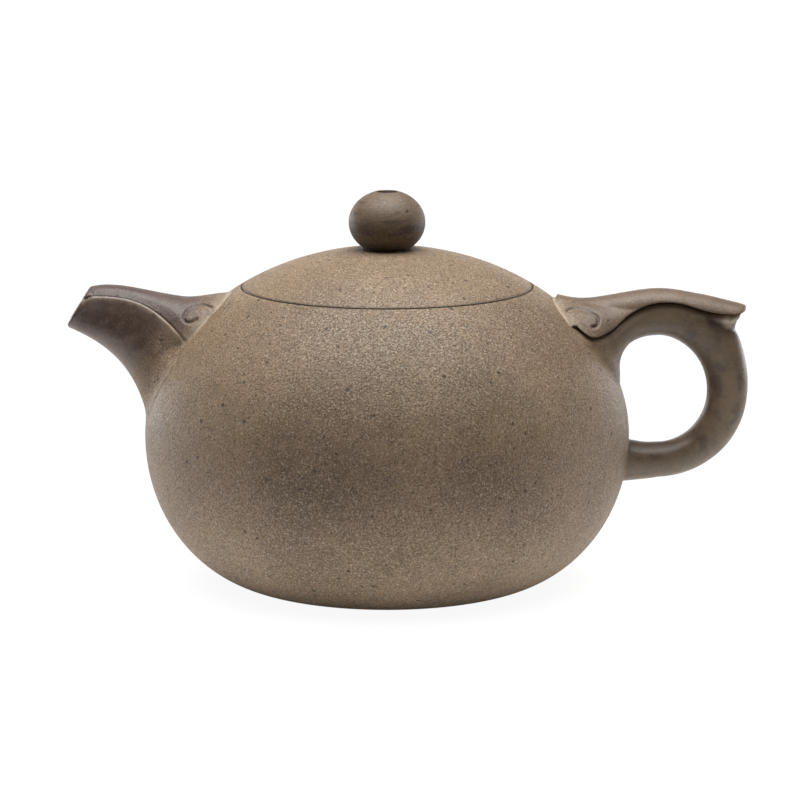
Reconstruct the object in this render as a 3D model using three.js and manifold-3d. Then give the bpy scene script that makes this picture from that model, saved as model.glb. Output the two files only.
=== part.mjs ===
// A squat stoneware teapot of about 300 ml: a pear-shaped body with a flush inlaid lid, a short
// tapering spout, a ring handle, and a raised ruyi band over the root of each.
// Millimetres, +Z up. The origin is on the body's axis, in the plane that the pot stands on.
// The spout points to -X and the handle to +X.
import * as THREE from 'three';
import { mergeVertices } from 'three/addons/utils/BufferGeometryUtils.js';
import Module from 'manifold-3d';

const wasm = await Module();
wasm.setup();

// Body of revolution: the outside runs from the flat base out to the belly and in to the lid's top
const bodyRadius = 52;
const bellyHeight = 32;
const baseRadius = 29.3;
const domeHeight = 72.3;
const footRun = 10.1;
const footRise = 1.6;
const lowerFullness = 18.7;
const upperFullness = 21.5;
const domeFullness = 28.7;
const wall = 3;

// Base slab, let into the foot of the wall
const footRing = 2.8;
const floorThickness = 3.1;

// Clay pieces are luted together along seams of this width
const seam = 0.3;

// Mouth, and the ring inside it that carries the lid
const mouthRadius = 31.15;
const ledgeWidth = 4.2;
const ledgeThickness = 2.4;
const ledgeBevel = 0.8;

// Lid, with the collar that keeps it in the mouth
const lidThickness = 3;
const flangeThickness = 2.4;
const flangeDepth = 9;
const flangeFit = 0.45;
const flangeBevel = 0.6;

// Bead knob with the air hole through it
const knobRadius = 8.2;
const knobHeight = 12.35;
const knobFootRadius = 5.2;
const airHoleRadius = 1.1;
const airHoleMouthRadius = 2.2;
const airHoleMouthDepth = 1.6;

// Spout: the mouth's middle, its height across, its lean from upright, the widths along it, and the
// gap between the lid and the shoulder that it ends on
const spoutReach = 14.55;
const spoutMouthLevel = 59;
const spoutMouthHeight = 8.45;
const spoutMouthWidth = 8.8;
const spoutMiddleWidth = 12.8;
const spoutRootWidth = 23;
const spoutMouthLean = 32;
const spoutLipRound = 1.7;
const shoulderGap = 4.2;
const spoutRootLevel = 31;
const spoutRootInset = 1.1;
const spoutWall = 2.2;
const spoutLipWall = 1.2;

// Ball strainer behind the hole into the spout
const strainerHoleLevel = 48;
const strainerHoleRadius = 7.4;
const strainerRadius = 9.4;
const strainerThickness = 1.5;
const strainerPerforation = 0.9;
const strainerRings = [[0, 1], [25, 6], [47, 11], [69, 14]];

// Ring handle: the finger hole, the section of the loop and the trumpets where it meets the body
const fingerDepth = 16.7;
const fingerWidth = 19;
const fingerHeight = 23.6;
const fingerLevel = 41.8;
const loopThickness = 8.7;
const loopTopThickness = 7.9;
const loopBottomThickness = 7.7;
const loopWidth = 9;
const upperRootRise = 12.2;
const upperRootDrop = 11.6;
const upperRootWidth = 26;
const upperRootLevel = 47.5;
const upperRootInset = 14;
const lowerRootHeight = 11;
const lowerRootWidth = 13;
const lowerRootLevel = 26.4;
const lowerRootInset = 8;

// Ruyi bands: how far they stand proud, the curls cut into their heads, and the wing that runs past
// the handle's bend
const bandRelief = 1.3;
const bandSideRelief = 1;
const headRelief = 1.1;
const bandWidth = 10.2;
const curlWidth = 0.7;
const curlDepth = 0.5;
const wingReach = 24.9;
const wingLevel = 59.3;
const wingTipWidth = 1.6;

// Fineness of the facets
const aroundBody = 48;
const aroundKnob = 24;
const aroundTube = 18;

const v2 = (x, y) => new THREE.Vector2(x, y);
const v3 = (x, y, z) => new THREE.Vector3(x, y, z);
const degrees = Math.PI / 180;

const lowerCurve = new THREE.CubicBezierCurve(
  v2(baseRadius, 0),
  v2(baseRadius + footRun, footRise),
  v2(bodyRadius, bellyHeight - lowerFullness),
  v2(bodyRadius, bellyHeight),
);
const upperCurve = new THREE.CubicBezierCurve(
  v2(bodyRadius, bellyHeight),
  v2(bodyRadius, bellyHeight + upperFullness),
  v2(domeFullness, domeHeight),
  v2(0, domeHeight),
);

// A point at a distance outside the profile, square to it
function skinPoint(curve, t, offset) {
  const { v0, v1, v2: third, v3: last } = curve;
  const along = v1.clone().sub(v0).multiplyScalar((1 - t) ** 2)
    .addScaledVector(third.clone().sub(v1), 2 * t * (1 - t))
    .addScaledVector(last.clone().sub(third), t ** 2)
    .normalize();
  const point = curve.getPoint(t);
  return v2(point.x + along.y * offset, point.y - along.x * offset);
}

// The value between low and high at which a falling or rising function crosses zero
function solve(measure, low, high) {
  const rising = measure(high) > measure(low);
  for (let step = 0; step < 40; step += 1) {
    const middle = (low + high) / 2;
    if ((measure(middle) > 0) === rising) high = middle;
    else low = middle;
  }
  return (low + high) / 2;
}

const parameterAtRadius = (radius, offset) =>
  solve((t) => skinPoint(upperCurve, t, offset).x - radius, 0, 1);
const parameterAtHeight = (height, offset) =>
  solve((t) => skinPoint(upperCurve, t, offset).y - height, 0, 1);
const heightAtRadius = (radius, offset) =>
  skinPoint(upperCurve, parameterAtRadius(radius, offset), offset).y;

// Points along a stretch of the profile, both ends included
function skinRun(curve, from, to, offset, count) {
  const points = [];
  for (let i = 0; i <= count; i += 1) {
    points.push(skinPoint(curve, from + ((to - from) * i) / count, offset));
  }
  return points;
}

// A closed solid from any geometry, with its shared vertices merged and its faces pointing out
function solid(geometry) {
  geometry.deleteAttribute('normal');
  geometry.deleteAttribute('uv');
  const merged = mergeVertices(geometry, 1e-4);
  const place = merged.attributes.position;
  const corner = [v3(), v3(), v3()];
  const triangles = [];
  let volume = 0;
  for (let i = 0; i < merged.index.count; i += 3) {
    const index = [0, 1, 2].map((k) => merged.index.getX(i + k));
    if (new Set(index).size < 3) continue;
    index.forEach((vertex, k) => corner[k].fromBufferAttribute(place, vertex));
    volume += corner[0].dot(corner[1].clone().cross(corner[2]));
    triangles.push(index);
  }
  if (volume < 0) triangles.forEach((index) => index.reverse());
  return new wasm.Manifold(new wasm.Mesh({
    numProp: 3,
    vertProperties: new Float32Array(place.array),
    triVerts: new Uint32Array(triangles.flat()),
  }));
}

// A profile of radius and height turned about the pot's axis
function turned(points, segments) {
  const geometry = new THREE.LatheGeometry(points, segments);
  geometry.rotateX(Math.PI / 2);
  return solid(geometry);
}

// The whole pot as one plain solid, grown or shrunk by an offset, to cut other pieces with
function potSkin(offset) {
  const run = [...skinRun(lowerCurve, 0, 1, offset, 10), ...skinRun(upperCurve, 0, 1, offset, 18).slice(1)];
  return turned([v2(0, run[0].y), ...run], aroundBody);
}

// A skin through rings of points, closed by a fan at each end
function loft(rings) {
  const count = rings[0].length;
  const points = rings.flat();
  const index = [];
  for (let ring = 0; ring + 1 < rings.length; ring += 1) {
    for (let k = 0; k < count; k += 1) {
      const a = ring * count + k;
      const b = ring * count + ((k + 1) % count);
      index.push(a, b, b + count, a, b + count, a + count);
    }
  }
  [rings[0], rings[rings.length - 1]].forEach((ring, end) => {
    const middle = ring.reduce((sum, point) => sum.add(point), v3(0, 0, 0)).divideScalar(count);
    const first = end * (rings.length - 1) * count;
    points.push(middle);
    for (let k = 0; k < count; k += 1) {
      const a = first + k;
      const b = first + ((k + 1) % count);
      index.push(points.length - 1, ...(end ? [a, b] : [b, a]));
    }
  });
  const geometry = new THREE.BufferGeometry().setFromPoints(points);
  geometry.setIndex(index);
  return solid(geometry);
}

// A rounded section that stands across the XZ plane, its tall axis along up
function section(centre, up, halfHeight, halfWidth, fullness = 2.3) {
  const round = (value) => Math.sign(value) * Math.abs(value) ** (2 / fullness);
  const ring = [];
  for (let k = 0; k < aroundTube; k += 1) {
    const angle = (2 * Math.PI * (k + 0.5)) / aroundTube;
    const rise = halfHeight * round(Math.cos(angle));
    ring.push(v3(centre.x + up.x * rise, halfWidth * round(Math.sin(angle)), centre.y + up.y * rise));
  }
  return ring;
}

// A smooth curve of one value through a few stations along a piece
function graded(stations) {
  const curve = new THREE.SplineCurve(stations.map(([t, value]) => v2(t, value)));
  return (t) => {
    const u = solve((s) => curve.getPoint(s).x - t, 0, 1);
    return curve.getPoint(u).y;
  };
}

// A flat outline in the XZ plane, run right through the pot along Y
function sideOutline(points, halfDepth) {
  const geometry = new THREE.ExtrudeGeometry(new THREE.Shape(points), {
    depth: 2 * halfDepth,
    bevelEnabled: false,
  });
  geometry.rotateX(Math.PI / 2);
  geometry.translate(0, halfDepth, 0);
  return solid(geometry);
}

// A curl to cut into both sides of a band: a ribbon along its line, run right through the pot, less
// the core that the cut leaves standing
function curlCut(points, core) {
  const line = new THREE.SplineCurve(points);
  const above = [];
  const below = [];
  for (let i = 0; i <= 10; i += 1) {
    const place = line.getPoint(i / 10);
    const along = line.getTangent(i / 10);
    const across = v2(-along.y, along.x).multiplyScalar(curlWidth / 2);
    above.push(place.clone().add(across));
    below.unshift(place.clone().sub(across));
  }
  return sideOutline([...above, ...below], bodyRadius).subtract(core);
}

// A round cutter from one point towards another
function cutter(from, to, radiusFrom, radiusTo, sides) {
  const axis = to.clone().sub(from);
  const geometry = new THREE.CylinderGeometry(radiusTo, radiusFrom, axis.length(), sides);
  geometry.applyQuaternion(new THREE.Quaternion().setFromUnitVectors(v3(0, 1, 0), axis.clone().normalize()));
  const middle = from.clone().add(to).divideScalar(2);
  geometry.translate(middle.x, middle.y, middle.z);
  return solid(geometry);
}

// Body wall
const bodyMouth = mouthRadius + seam / 2;
const innerFoot = skinPoint(lowerCurve, 0, -wall);
const slabEdge = baseRadius - footRing;
const wallSection = [
  v2(slabEdge, 0),
  ...skinRun(lowerCurve, 0, 1, 0, 9),
  ...skinRun(upperCurve, 0, parameterAtRadius(bodyMouth, 0), 0, 8).slice(1),
  ...skinRun(upperCurve, parameterAtRadius(bodyMouth, -wall), 0, -wall, 5),
  ...skinRun(lowerCurve, 1, 0, -wall, 5).slice(1),
  v2(slabEdge, innerFoot.y),
  v2(slabEdge, 0),
];

// Hole from the body into the spout, square to the wall
const holeParameter = parameterAtHeight(strainerHoleLevel, 0);
const holeOutside = skinPoint(upperCurve, holeParameter, wall);
const holeInside = skinPoint(upperCurve, holeParameter, -2 * wall);
const spoutHole = cutter(
  v3(-holeInside.x, 0, holeInside.y),
  v3(-holeOutside.x, 0, holeOutside.y),
  strainerHoleRadius,
  strainerHoleRadius,
  28,
);
const bodyShell = turned(wallSection, aroundBody).subtract(spoutHole);

// Base slab
const baseDisc = turned([
  v2(0, 0),
  v2(slabEdge - seam, 0),
  v2(slabEdge - seam, floorThickness),
  v2(0, floorThickness),
], aroundBody);

// Ring inside the mouth, its top the ledge that the lid rests on
const ledgeLevel = heightAtRadius(bodyMouth, -wall) - seam;
const ringInner = mouthRadius - ledgeWidth;
const ringSkin = -wall - seam;
const mouthRing = turned([
  v2(ringInner, ledgeLevel),
  ...skinRun(
    upperCurve,
    parameterAtHeight(ledgeLevel, ringSkin),
    parameterAtHeight(ledgeLevel - ledgeThickness, ringSkin),
    ringSkin,
    2,
  ),
  v2(ringInner + ledgeBevel, ledgeLevel - ledgeThickness),
  v2(ringInner, ledgeLevel - ledgeThickness + ledgeBevel),
  v2(ringInner, ledgeLevel),
], aroundBody);

// Lid, whose top carries on the line of the body
const lidRadius = mouthRadius - seam / 2;
const seatLevel = ledgeLevel + seam;
const flangeOuter = ringInner - flangeFit;
const flangeInner = flangeOuter - flangeThickness;
const airHole = cutter(v3(0, 0, 0), v3(0, 0, 2 * domeHeight), airHoleRadius, airHoleRadius, 14);
const lidPlate = turned([
  ...skinRun(upperCurve, 1, parameterAtRadius(lidRadius, 0), 0, 7),
  v2(lidRadius, seatLevel),
  v2(flangeOuter + seam, seatLevel),
  ...skinRun(upperCurve, parameterAtRadius(flangeOuter + seam, -lidThickness), 1, -lidThickness, 5),
], aroundBody).subtract(airHole);

// Collar under the lid
const flangeSkin = -lidThickness - seam;
const flangeBottom = seatLevel - flangeDepth;
const lidFlange = turned([
  v2(flangeInner, flangeBottom + flangeBevel),
  v2(flangeInner + flangeBevel, flangeBottom),
  v2(flangeOuter - flangeBevel, flangeBottom),
  v2(flangeOuter, flangeBottom + flangeBevel),
  ...skinRun(
    upperCurve,
    parameterAtRadius(flangeOuter, flangeSkin),
    parameterAtRadius(flangeInner, flangeSkin),
    flangeSkin,
    2,
  ),
  v2(flangeInner, flangeBottom + flangeBevel),
], aroundBody);

// Bead knob: a slightly squashed ball that sinks to a foot on the dome
const knobTop = domeHeight + knobHeight;
const knobFootLevel = heightAtRadius(knobFootRadius, seam);
const footShare = Math.sqrt(1 - (knobFootRadius / knobRadius) ** 2);
const knobHalfHeight = (knobTop - knobFootLevel) / (1 + footShare);
const knobCentre = knobTop - knobHalfHeight;
const knobProfile = [
  ...skinRun(upperCurve, 1, parameterAtRadius(knobFootRadius, seam), seam, 3),
];
const knobStart = -Math.asin(footShare);
for (let i = 1; i <= 12; i += 1) {
  const angle = knobStart + ((Math.PI / 2 - knobStart) * i) / 12;
  knobProfile.push(v2(
    i === 12 ? 0 : knobRadius * Math.cos(angle),
    knobCentre + knobHalfHeight * Math.sin(angle),
  ));
}
const knobHoleMouth = cutter(
  v3(0, 0, knobTop - airHoleMouthDepth),
  v3(0, 0, knobTop + airHoleMouthDepth),
  airHoleRadius,
  2 * airHoleMouthRadius - airHoleRadius,
  14,
);
const knob = turned(knobProfile, aroundKnob).subtract(airHole).subtract(knobHoleMouth);

// Spout: sections stand on chords from its upper outline to its lower one. Its outlines are drawn in
// shares of the mouth's height
const bySpout = (from, x, y) => v2(from.x + x * spoutMouthHeight, from.y + y * spoutMouthHeight);
const potOutside = potSkin(seam);
const mouthLean = v2(Math.sin(spoutMouthLean * degrees), Math.cos(spoutMouthLean * degrees));
const mouthMiddle = v2(-bodyRadius - spoutReach, spoutMouthLevel);
const mouthTop = mouthMiddle.clone().addScaledVector(mouthLean, spoutMouthHeight / 2);
const mouthBottom = mouthMiddle.clone().addScaledVector(mouthLean, -spoutMouthHeight / 2);
const shoulderRadius = mouthRadius + shoulderGap;
const shoulder = v2(-shoulderRadius, heightAtRadius(shoulderRadius, 0) - 1);
const spoutTop = new THREE.CubicBezierCurve(
  mouthTop,
  bySpout(mouthTop, 0.947, 0.237),
  bySpout(shoulder, -1.302, -0.166),
  shoulder,
);
const spoutBelow = new THREE.CubicBezierCurve(
  mouthBottom,
  bySpout(mouthBottom, 0.899, -0.379),
  v2(-bodyRadius - spoutRootInset / 3, spoutRootLevel + 1.917 * spoutMouthHeight),
  v2(-bodyRadius + spoutRootInset, spoutRootLevel),
);
const spoutWidth = graded([
  [-0.1, spoutMouthWidth * 0.97],
  [0, spoutMouthWidth],
  [0.5, spoutMiddleWidth],
  [0.8, spoutMiddleWidth + (spoutRootWidth - spoutMiddleWidth) * 0.55],
  [1, spoutRootWidth],
  [1.1, spoutRootWidth * 1.1],
]);
function spoutRing(t, grow, growSide) {
  const top = spoutTop.getPoint(t);
  const below = spoutBelow.getPoint(t);
  const up = top.clone().sub(below);
  const centre = top.clone().add(below).divideScalar(2);
  return section(centre, up.clone().normalize(), up.length() / 2 + grow, spoutWidth(t) / 2 + growSide);
}
function spoutLoft(from, to, grow, growSide = grow) {
  const rings = [];
  for (let i = 0; i <= 16; i += 1) {
    const t = from + ((to - from) * i) / 16;
    rings.push(spoutRing(t, grow(t), growSide(t)));
  }
  return loft(rings);
}
const boreWall = (t) => -THREE.MathUtils.lerp(spoutLipWall, spoutWall, Math.min(1, Math.max(0, t * 3)));
const spoutBody = spoutLoft(0, 1, () => 0);
const spoutBore = spoutLoft(-0.06, 1.05, boreWall);

// The lip's lower corner is rounded off
const lipInward = spoutBelow.getTangent(0);
const lipTop = mouthBottom.clone().addScaledVector(mouthLean, spoutLipRound);
const lipRun = mouthBottom.clone().addScaledVector(lipInward, spoutLipRound);
const aheadOfLip = v2(-mouthLean.y, mouthLean.x).multiplyScalar(spoutMouthHeight);
const underLip = v2(lipInward.y, -lipInward.x).multiplyScalar(spoutMouthHeight);
const lipCorner = sideOutline([
  ...new THREE.QuadraticBezierCurve(lipTop, mouthBottom, lipRun).getPoints(5),
  lipRun.clone().add(underLip),
  mouthBottom.clone().add(underLip).add(aheadOfLip),
  lipTop.clone().add(aheadOfLip),
], bodyRadius);
const spout = spoutBody.subtract(spoutBore).subtract(lipCorner).subtract(potOutside);

// Band over the spout: the spout's own form grown by the relief, kept above a falling edge
const spoutBandEdge = new THREE.CubicBezierCurve(
  bySpout(mouthTop, -0.308, -0.024),
  bySpout(mouthTop, 1.349, 0.142),
  bySpout(shoulder, -1.605348, 0.000395),
  bySpout(shoulder, -0.717348, -0.816605),
);
const spoutBandOutline = sideOutline([
  ...spoutBandEdge.getPoints(14),
  v2(-mouthRadius, mouthTop.y - 1.4 * spoutMouthHeight),
  v2(-mouthRadius, mouthTop.y + 1.4 * spoutMouthHeight),
  bySpout(mouthTop, -0.308, 1.4),
], bodyRadius);
const headSwell = (t) => headRelief * THREE.MathUtils.smoothstep(t, 0.72, 0.97);
const topRise = (t) => bandRelief + headSwell(t);
const sideRise = (t) => bandSideRelief + headSwell(t);
const spoutCurl = curlCut(
  [
    [-0.225, 0.024], [-0.414, 0.059], [-0.651, 0.036], [-0.793, -0.024], [-0.899, -0.13],
    [-0.923, -0.26], [-0.828, -0.32], [-0.686, -0.296], [-0.592, -0.237],
  ].map(([x, y]) => bySpout(shoulder, x, y)),
  spoutLoft(0, 1, (t) => topRise(t) - curlDepth, (t) => sideRise(t) - curlDepth),
);
const spoutBand = spoutLoft(0, 1, topRise, sideRise)
  .intersect(spoutBandOutline)
  .subtract(spoutLoft(-0.06, 1.05, () => seam))
  .subtract(spoutCurl)
  .subtract(potOutside);

// Ball strainer: a perforated dome over the spout hole, cut to the curve of the inner wall
const domeMiddle = skinPoint(upperCurve, holeParameter, -wall);
const domeCentre = v3(-domeMiddle.x, 0, domeMiddle.y);
const inward = v3(-holeInside.x, 0, holeInside.y).sub(domeCentre).normalize();
const sideways = v3(0, 1, 0);
const upward = sideways.clone().cross(inward);
function ball(radius) {
  const geometry = new THREE.SphereGeometry(radius, 16, 10);
  geometry.translate(domeCentre.x, domeCentre.y, domeCentre.z);
  return solid(geometry);
}
let strainer = ball(strainerRadius)
  .subtract(ball(strainerRadius - strainerThickness))
  .intersect(potSkin(-wall - seam));
strainerRings.forEach(([tilt, count]) => {
  for (let k = 0; k < count; k += 1) {
    const turn = (2 * Math.PI * k) / count;
    const direction = inward.clone().multiplyScalar(Math.cos(tilt * degrees))
      .addScaledVector(sideways, Math.sin(tilt * degrees) * Math.sin(turn))
      .addScaledVector(upward, Math.sin(tilt * degrees) * Math.cos(turn));
    const from = domeCentre.clone().addScaledVector(direction, strainerRadius - 2 * strainerThickness);
    const to = domeCentre.clone().addScaledVector(direction, strainerRadius + strainerThickness);
    strainer = strainer.subtract(cutter(from, to, strainerPerforation, strainerPerforation, 5));
  }
});

// Handle: the loop's middle line is an ellipse, led into the body at both ends. The lines of the
// handle and of its band are drawn in shares of the loop's thickness
const byHandle = (from, x, y) => v2(from.x + x * loopThickness, from.y + y * loopThickness);
const ringX = bodyRadius + fingerDepth - fingerWidth / 2;
const ringHalfWidth = fingerWidth / 2 + loopThickness / 2;
const ringHalfHeight = fingerHeight / 2 + (loopTopThickness + loopBottomThickness) / 4;
const ringArc = new THREE.EllipseCurve(
  ringX,
  fingerLevel,
  ringHalfWidth,
  ringHalfHeight,
  100 * degrees,
  -95 * degrees,
  true,
);
const arcStart = ringArc.getPoint(0);
const arcEnd = ringArc.getPoint(1);
const upperRoot = v2(bodyRadius - upperRootInset, upperRootLevel);
const lowerRoot = v2(bodyRadius - lowerRootInset, lowerRootLevel);
const handleLine = new THREE.CurvePath();
handleLine.add(new THREE.CubicBezierCurve(
  upperRoot,
  byHandle(upperRoot, 0.747, 0.563),
  byHandle(arcStart, -0.69, -0.057),
  arcStart,
));
handleLine.add(ringArc);
handleLine.add(new THREE.CubicBezierCurve(
  arcEnd,
  byHandle(arcEnd, -0.345, -0.034),
  byHandle(lowerRoot, 0.575, 0),
  lowerRoot,
));
const handleRise = graded([
  [0, upperRootRise],
  [0.06, THREE.MathUtils.lerp(loopTopThickness / 2, upperRootRise, 0.92)],
  [0.117, THREE.MathUtils.lerp(loopTopThickness / 2, upperRootRise, 0.46)],
  [0.165, THREE.MathUtils.lerp(loopTopThickness / 2, upperRootRise, 0.12)],
  [0.21, loopTopThickness / 2],
  [0.28, loopTopThickness / 2],
  [0.53, loopThickness / 2],
  [0.8, loopBottomThickness / 2],
  [0.88, loopBottomThickness * 0.52],
  [1, lowerRootHeight / 2],
]);
const handleDrop = graded([
  [0, upperRootDrop],
  [0.07, upperRootDrop],
  [0.1, THREE.MathUtils.lerp(loopTopThickness / 2, upperRootDrop, 0.69)],
  [0.117, THREE.MathUtils.lerp(loopTopThickness / 2, upperRootDrop, 0.41)],
  [0.13, THREE.MathUtils.lerp(loopTopThickness / 2, upperRootDrop, 0.26)],
  [0.15, THREE.MathUtils.lerp(loopTopThickness / 2, upperRootDrop, 0.11)],
  [0.18, THREE.MathUtils.lerp(loopTopThickness / 2, upperRootDrop, 0.02)],
  [0.28, loopTopThickness / 2],
  [0.53, loopThickness / 2],
  [0.8, loopBottomThickness / 2],
  [0.88, loopBottomThickness * 0.52],
  [1, lowerRootHeight / 2],
]);
const handleWidth = graded([
  [0, upperRootWidth],
  [0.07, upperRootWidth * 0.92],
  [0.13, upperRootWidth * 0.66],
  [0.19, loopWidth * 1.15],
  [0.27, loopWidth],
  [0.53, loopWidth],
  [0.8, loopWidth],
  [0.88, loopWidth * 1.08],
  [1, lowerRootWidth],
]);
function handleLoft(from, to, steps, grow) {
  const rings = [];
  for (let i = 0; i <= steps; i += 1) {
    const t = from + ((to - from) * i) / steps;
    const along = handleLine.getTangent(t);
    const up = v2(-along.y, along.x);
    const rise = handleRise(t);
    const drop = handleDrop(t);
    const centre = handleLine.getPoint(t).addScaledVector(up, (rise - drop) / 2);
    rings.push(section(centre, up, (rise + drop) / 2 + grow, handleWidth(t) / 2 + grow));
  }
  return loft(rings);
}
const handleBody = handleLoft(0, 1, 36, 0);

// Shoulder on the bend, up to the wing of the band
const wingTip = v2(bodyRadius + wingReach, wingLevel);
const bendRoot = v2(
  ringX + ringHalfWidth * Math.cos(22 * degrees),
  fingerLevel + ringHalfHeight * Math.sin(22 * degrees),
);
const bendLine = new THREE.QuadraticBezierCurve(
  bendRoot,
  v2(bendRoot.x - 0.414 * loopThickness, wingTip.y - 0.552 * loopThickness),
  byHandle(wingTip, -0.563, -0.092),
);
function bendLoft(grow) {
  const rings = [];
  const reach = 1 + grow / bendLine.getLength();
  for (let i = 0; i <= 6; i += 1) {
    const halfWidth = THREE.MathUtils.lerp(loopWidth * 0.48, bandWidth * 0.32, i / 6);
    const centre = bendLine.getPoint((reach * i) / 6);
    rings.push(section(centre, v2(1, 0), loopThickness * 0.48 + grow, halfWidth + grow));
  }
  return loft(rings);
}
const handle = handleBody.add(bendLoft(0)).subtract(potOutside);

// Band over the handle: a crowned bar out to the wing, joined to the trumpet grown by the relief
const armTop = fingerLevel + fingerHeight / 2 + loopTopThickness + bandRelief + seam;
const bandStart = v2(bodyRadius, armTop);
const bandTop = new THREE.SplineCurve([
  byHandle(bandStart, -1.799, -0.144),
  byHandle(bandStart, -1.034, -0.236),
  byHandle(bandStart, 0.575, 0),
  byHandle(bandStart, 1.609, -0.115),
  byHandle(wingTip, -0.345, 0.115),
  byHandle(wingTip, -0.011, 0.023),
]);
const bandHalfWidth = graded([
  [0, bandWidth / 2],
  [0.6, bandWidth / 2],
  [0.88, bandWidth * 0.42],
  [1, wingTipWidth / 2],
]);
const bandHalfHeight = graded([
  [0, loopTopThickness / 2],
  [0.6, loopTopThickness / 2],
  [0.88, loopTopThickness * 0.3],
  [1, loopTopThickness * 0.06],
]);
const barRings = [];
for (let i = 0; i <= 18; i += 1) {
  const top = bandTop.getPoint(i / 18);
  const halfHeight = bandHalfHeight(i / 18);
  barRings.push(section(v2(top.x, top.y - halfHeight), v2(0, 1), halfHeight, bandHalfWidth(i / 18)));
}
const handleBandEdge = new THREE.SplineCurve([
  byHandle(bandStart, -1.379, -0.69),
  byHandle(bandStart, -0.977, -0.966),
  byHandle(bandStart, -0.517, -0.851),
  byHandle(bandStart, 0, -0.483),
  byHandle(bandStart, 0.517, -0.264),
  byHandle(bandStart, 1.149, -0.253),
  byHandle(bandStart, 1.954, -0.471),
  byHandle(wingTip, -0.287, -0.092),
  byHandle(wingTip, 0.115, 0),
]);
const handleBandOutline = sideOutline([
  ...handleBandEdge.getPoints(26),
  byHandle(wingTip, 0.115, 1.839),
  byHandle(bandStart, -2.397, 1.379),
  byHandle(bandStart, -2.397, -0.69),
], bodyRadius);
const handleCurl = curlCut(
  [
    [-1.586, -0.379], [-1.471, -0.345], [-1.287, -0.345], [-1.115, -0.379], [-0.966, -0.437],
    [-0.839, -0.517], [-0.828, -0.632], [-0.874, -0.713], [-0.966, -0.724],
  ].map(([x, y]) => byHandle(bandStart, x, y)),
  handleLoft(0, 0.27, 12, bandRelief - curlDepth),
);
const handleBand = handleLoft(0, 0.27, 12, bandRelief)
  .add(loft(barRings))
  .intersect(handleBandOutline)
  .subtract(handleLoft(0, 1, 36, seam))
  .subtract(bendLoft(seam))
  .subtract(handleCurl)
  .subtract(potOutside);

const bodyClay = new THREE.MeshStandardMaterial({ color: 0x97866f, roughness: 0.62, metalness: 0 });
const lidClay = new THREE.MeshStandardMaterial({ color: 0x9a886f, roughness: 0.62, metalness: 0 });
const burnishedClay = new THREE.MeshStandardMaterial({ color: 0x6f5d52, roughness: 0.42, metalness: 0 });
const bandClay = new THREE.MeshStandardMaterial({ color: 0x86735f, roughness: 0.45, metalness: 0 });

function piece(name, shape, material) {
  const { vertProperties, triVerts } = shape.getMesh();
  const geometry = new THREE.BufferGeometry();
  geometry.setAttribute('position', new THREE.BufferAttribute(vertProperties, 3));
  geometry.setIndex(new THREE.BufferAttribute(triVerts, 1));
  geometry.computeVertexNormals();
  const mesh = new THREE.Mesh(geometry, material);
  mesh.name = name;
  return mesh;
}

const pot = new THREE.Group();
pot.add(piece('body_shell', bodyShell, bodyClay));
pot.add(piece('base_disc', baseDisc, bodyClay));
pot.add(piece('mouth_ring', mouthRing, bodyClay));
pot.add(piece('strainer_dome', strainer, bodyClay));
pot.add(piece('spout', spout, burnishedClay));
pot.add(piece('spout_ruyi_band', spoutBand, bandClay));
pot.add(piece('handle_loop', handle, burnishedClay));
pot.add(piece('handle_ruyi_band', handleBand, bandClay));

const lid = new THREE.Group();
lid.add(piece('lid_plate', lidPlate, lidClay));
lid.add(piece('lid_flange', lidFlange, lidClay));
lid.add(piece('knob', knob, burnishedClay));

const teapot = new THREE.Group();
teapot.add(pot, lid);
export default teapot;
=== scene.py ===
# A squat unglazed stoneware teapot: pear-shaped body, flush inlaid lid with a bead knob, short spout
# with a ball strainer, ring handle, and a ruyi band over the root of spout and handle.
# Shapes are worked out in millimetres and brought to metres when a piece is finished.
from math import acos, atan2, copysign, cos, exp, hypot, pi, radians, sin, sqrt, tan

import bmesh
import bpy
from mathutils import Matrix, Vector
from mathutils.bvhtree import BVHTree


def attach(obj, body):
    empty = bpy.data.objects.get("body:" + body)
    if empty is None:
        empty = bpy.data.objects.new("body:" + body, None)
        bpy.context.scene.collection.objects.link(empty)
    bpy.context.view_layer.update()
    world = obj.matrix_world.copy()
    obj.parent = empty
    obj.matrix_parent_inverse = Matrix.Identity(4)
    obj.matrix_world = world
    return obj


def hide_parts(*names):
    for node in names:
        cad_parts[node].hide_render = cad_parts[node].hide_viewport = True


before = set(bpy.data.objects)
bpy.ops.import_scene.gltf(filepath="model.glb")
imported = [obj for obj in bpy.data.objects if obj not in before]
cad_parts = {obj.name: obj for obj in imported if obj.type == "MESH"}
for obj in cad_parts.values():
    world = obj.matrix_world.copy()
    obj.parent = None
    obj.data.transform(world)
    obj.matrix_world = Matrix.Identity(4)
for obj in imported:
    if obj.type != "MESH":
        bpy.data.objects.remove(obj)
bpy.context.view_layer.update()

# Camera: a long lens a little above the pot, aimed at its waist from far enough away that its near
# and far sides show at nearly one scale.
waist_x, waist_z = 0.00277, 0.03916
camera_rise = radians(10.6)
camera_distance = 0.8
camera_data = bpy.data.cameras.new("camera")
camera_data.lens = 167.4
camera_data.sensor_width = 36
camera = bpy.data.objects.new("camera", camera_data)
bpy.context.collection.objects.link(camera)
camera.location = (waist_x, -camera_distance * cos(camera_rise),
                   waist_z + camera_distance * sin(camera_rise))
camera.rotation_euler = (pi / 2 - camera_rise, 0, 0)
bpy.context.scene.camera = camera
bpy.context.scene.view_settings.view_transform = "Standard"


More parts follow.
